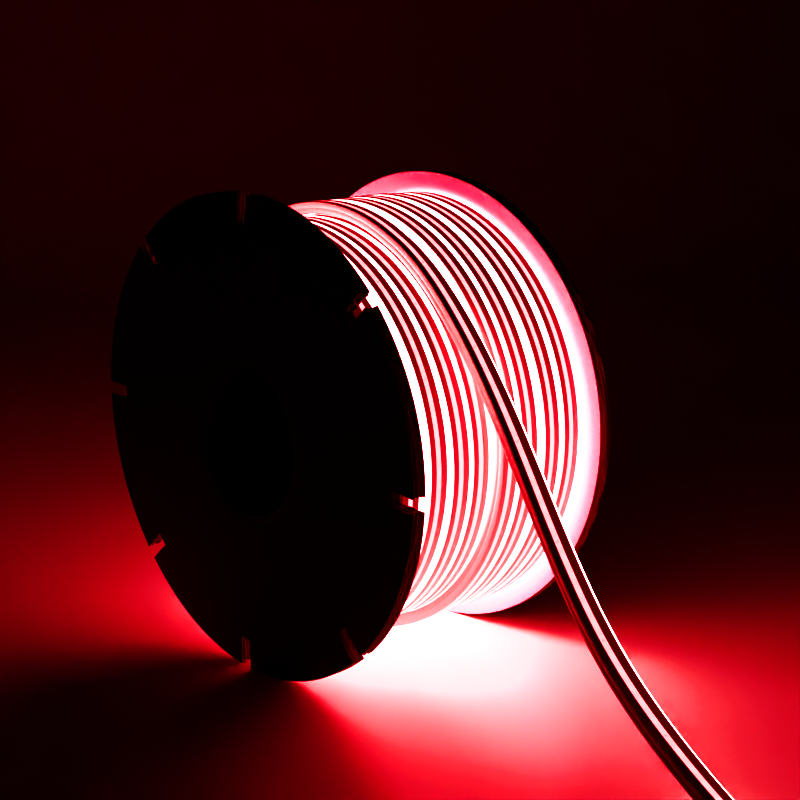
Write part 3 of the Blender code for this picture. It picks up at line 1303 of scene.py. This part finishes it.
@dataclass(frozen=True)
class SensorResponse:
    """The photo's sensor under red light: pure red until its red channel is full, and soon white past that.

    Each pair has the green or blue light that comes in and what the picture shows of it.
    """

    green: tuple[tuple[float, float], ...] = (
        (0.0, 0.0),
        (0.022, 0.0),
        (0.030, 0.012),
        (0.090, 0.84),
        (0.150, 1.0),
        (1.0, 1.0),
    )
    blue: tuple[tuple[float, float], ...] = (
        (0.0, 0.0),
        (0.017, 0.004),
        (0.030, 0.028),
        (0.090, 0.87),
        (0.150, 1.0),
        (1.0, 1.0),
    )

    def apply(self) -> None:
        """Puts the response between the render and the picture."""
        scene = bpy.context.scene
        scene.use_nodes = True
        tree = scene.node_tree
        tree.nodes.clear()
        layers = add_node(tree, "CompositorNodeRLayers")
        curves = add_node(tree, "CompositorNodeCurveRGB", {"Image": layers.outputs["Image"]})
        channels = {1: self.green, 2: self.blue}
        for channel, pairs in channels.items():
            points = curves.mapping.curves[channel].points
            points[0].location = pairs[0]
            points[-1].location = pairs[-1]
            for pair in pairs[1:-1]:
                points.new(*pair)
            for point in points:
                point.handle_type = "VECTOR"
        curves.mapping.update()
        add_node(tree, "CompositorNodeComposite", {"Image": curves.outputs["Image"]})


def main() -> None:
    """Builds and dresses every piece."""
    logging.basicConfig(level=logging.INFO, format="%(name)s: %(message)s")
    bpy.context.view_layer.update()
    Viewpoint().make()
    section = FlexSection()
    # painted glow on the side skin: bright on most turns, dimmer at the winding's start and near its end,
    # none on the tail, and down to a twentieth towards the top; it stands in for light from the turns beside
    # and the floor below
    table = ((-9.0, 0.25), (-7.4, 0.25), (-7.2, 0.9), (-0.50, 0.9), (-0.40, 0.5), (-0.08, 0.5), (0.0, 0.0))
    painted_glow_from_turns = PaintedGlow(table, share_above=0.05)
    # painted glow on the base walls: strong on most turns, where each lies against the lit dome of the turn
    # beside, weak at the winding's start, and running out just past its end onto the tail; it stands in for
    # that dome's light
    painted_glow_beside_dome = PaintedGlow(
        (
            (-9.0, 0.05),
            (-7.4, 0.05),
            (-7.2, 6.0),
            (-0.75, 6.0),
            (-0.62, 1.2),
            (-0.10, 0.9),
            (0.06, 0.8),
            (0.14, 0.0),
        ),
        fades_upwards=False,
    )
    skin = SiliconeSkin("silicone_extruded_milky", "#b88f8f", "#ac8585", painted_glow=painted_glow_from_turns).make()
    base = SiliconeSkin("silicone_base_wall", "#a38080", "#977575", painted_glow=painted_glow_beside_dome).make()
    # a lighter copy of the flex's silicone for the layers seen only through the gaps: painted light that
    # stands in for the glow of those lit turns
    pale = SiliconeSkin("silicone_between_turns_painted_lighter", "#e0c8c8", "#d4b8b8").make()
    window = LitWindow(section.window_middle()).make()
    dome = LitDome(section.tip()).make()
    dress = [skin, base, window, dome]
    pieces = LooseTail(section).build(dress)
    inner_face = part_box("front_flange")[1].y
    pieces += WoundFlex(section, inner_face).build(dress, pale)
    fluting = BoardFinish("kraft_fluting", "#7a5a44", "#5c4130").make()
    liners = {
        "printed": PrintedLiner().make(),
        "fluting": fluting,
        "middle": BoardFinish("kraft_middle_liner", "#86664e", "#6a4d39").make(),
        "inner": BoardFinish("coated_inner_liner", "#ad9fac", "#a396a2").make(),
    }
    pieces.append(BoardDisc(bow=1.6 * MM).build("front_board_disc", "front_flange", -1, 11, liners))
    pieces.append(BoardDisc(slots=0).build("back_board_disc", "back_flange", 1, 23, liners))
    pieces.append(CoreTube().build())
    Studio().build()
    SensorResponse().apply()
    for piece in pieces:
        LOG.info("%s: %d faces", piece.name, len(piece.data.polygons))


if __name__ == "__main__":
    main()
